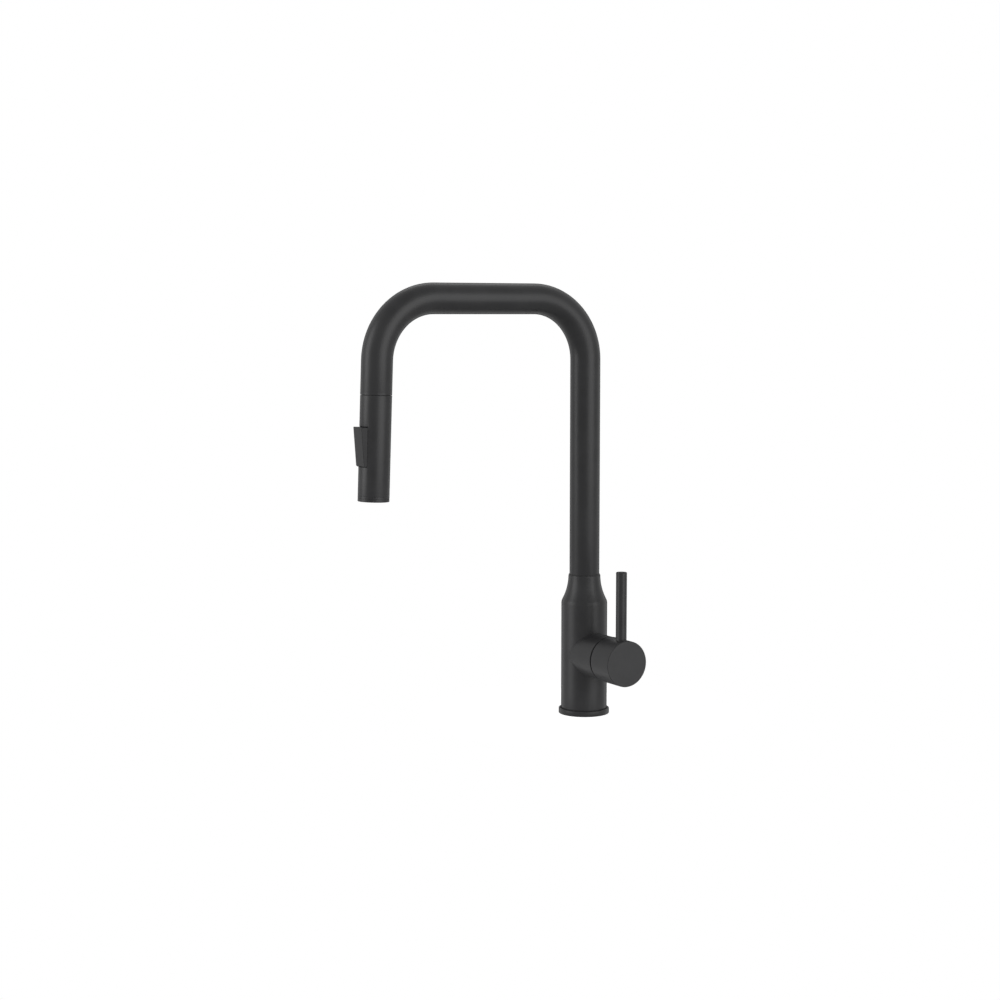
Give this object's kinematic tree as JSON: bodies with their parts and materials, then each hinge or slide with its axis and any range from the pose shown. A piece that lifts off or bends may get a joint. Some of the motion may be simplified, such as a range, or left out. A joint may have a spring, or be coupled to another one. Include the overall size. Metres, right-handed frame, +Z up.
{
  "type": "kitchen faucet",
  "caption": "Single-lever kitchen faucet with a swivelling square-shouldered gooseneck spout and a docked pull-down spray head with a rocker toggle, in matte black.",
  "frame": {"origin": "centre of the threaded socket in the underside, on the deck plane", "axes": "+Z up along the riser, -Y towards the outlet, +X out along the handle's axis"},
  "size_m": [0.0966, 0.2592, 0.4032],
  "materials": {
    "black_coat": "matte powder coat",
    "black_shell": "matte coat to match the metal",
    "black_plastic": "fine satin",
    "grey_plastic": "moulded",
    "white_plastic": "moulded acetal",
    "blue_plastic": "moulded acetal",
    "ceramic": "lapped ceramic",
    "rubber_black": "matte",
    "rubber_grey": "matte",
    "steel": "fine brushed",
    "brass": "machined",
    "magnet": "nickel plated",
    "hose_braid": "nylon braid"
  },
  "bodies": {
    "body": {"base_ring": "black_coat", "base_gasket": "rubber_black", "body": "black_coat", "upper_bush": "white_plastic", "lower_bush": "white_plastic", "thrust_washer": "white_plastic", "cartridge_base": "white_plastic", "hot_seal": "rubber_black", "cold_seal": "rubber_black", "mixed_seal": "rubber_black", "fixed_disc": "ceramic", "cartridge_housing": "white_plastic", "retaining_nut": "brass", "dome_cap": "black_coat"},
    "temperature_rotor": {"stem_carrier": "blue_plastic", "stem_pin": "steel"},
    "handle": {"stem": "steel", "hub": "black_coat", "lever_rod": "black_coat", "set_screw": "steel", "screw_plug": "black_shell"},
    "flow_disc": {"moving_disc": "ceramic", "drive_plate": "blue_plastic"},
    "spout": {"spout_tube": "black_coat", "retaining_clip": "steel", "dock_sleeve": "black_shell", "dock_magnet": "magnet", "hose_guide": "white_plastic", "pull_out_hose": "hose_braid"},
    "hose_end": {"hose_tail": "hose_braid", "hose_ferrule": "steel", "hose_cone": "brass", "cone_seal": "rubber_black"},
    "spray_head": {"head_shell": "black_shell", "head_core": "grey_plastic", "core_seal": "rubber_black", "dock_neck": "grey_plastic", "catch_ring": "steel", "toggle_pin": "steel", "check_seat": "white_plastic", "check_cage": "white_plastic", "check_spring": "steel", "nozzle_mat": "rubber_grey", "nozzle_plate": "black_plastic", "aerator_housing": "black_plastic", "aerator_screen": "steel", "face_ring": "black_shell"},
    "spray_toggle": {"toggle": "black_shell"},
    "diverter_spool": {"spool": "white_plastic"},
    "check_valve": {"check_poppet": "white_plastic"}
  },
  "joints": [
    {"name": "spout_swivel", "type": "hinge", "parent": "body", "child": "spout", "pos_m": [0, 0, 0], "axis": [0, 0, 1], "continuous": true},
    {"name": "handle_turn", "type": "hinge", "parent": "body", "child": "temperature_rotor", "pos_m": [0, 0, 0.0575], "axis": [1, 0, 0], "range_deg": [-45, 45]},
    {"name": "handle_lift", "type": "hinge", "parent": "temperature_rotor", "child": "handle", "pos_m": [0.03282, 0, 0.0575], "axis": [0, 1, 0], "range_deg": [0, 25]},
    {"name": "disc_slide", "type": "slide", "parent": "temperature_rotor", "child": "flow_disc", "axis": [0, 0, 1], "range_m": [0, 0.00275]},
    {"name": "head_pull", "type": "slide", "parent": "spout", "child": "hose_end", "axis": [0, -0.0349, -0.9994], "range_m": [0, 0.45], "stiffness_N_per_m": 8, "springref_m": -0.6, "deforming": ["hose_tail"]},
    {"name": "head_spin", "type": "hinge", "parent": "hose_end", "child": "spray_head", "pos_m": [0, -0.21682, 0.30497], "axis": [0, -0.0349, -0.9994], "continuous": true},
    {"name": "toggle_rock", "type": "hinge", "parent": "spray_head", "child": "spray_toggle", "pos_m": [0, -0.2279, 0.25978], "axis": [-1, 0, 0], "range_deg": [0, 6]},
    {"name": "diverter_slide", "type": "slide", "parent": "spray_head", "child": "diverter_spool", "axis": [0, -0.0349, -0.9994], "range_m": [0, 0.00043]},
    {"name": "check_lift", "type": "slide", "parent": "spray_head", "child": "check_valve", "axis": [0, -0.0349, -0.9994], "range_m": [0, 0.0016], "stiffness_N_per_m": 60, "springref_m": -0.003, "deforming": ["check_spring"]}
  ],
  "couplings": [
    {"joint": "disc_slide", "follows": "handle_lift", "m_per_rad": 0.0062},
    {"joint": "diverter_slide", "follows": "toggle_rock", "m_per_rad": 0.004}
  ]
}
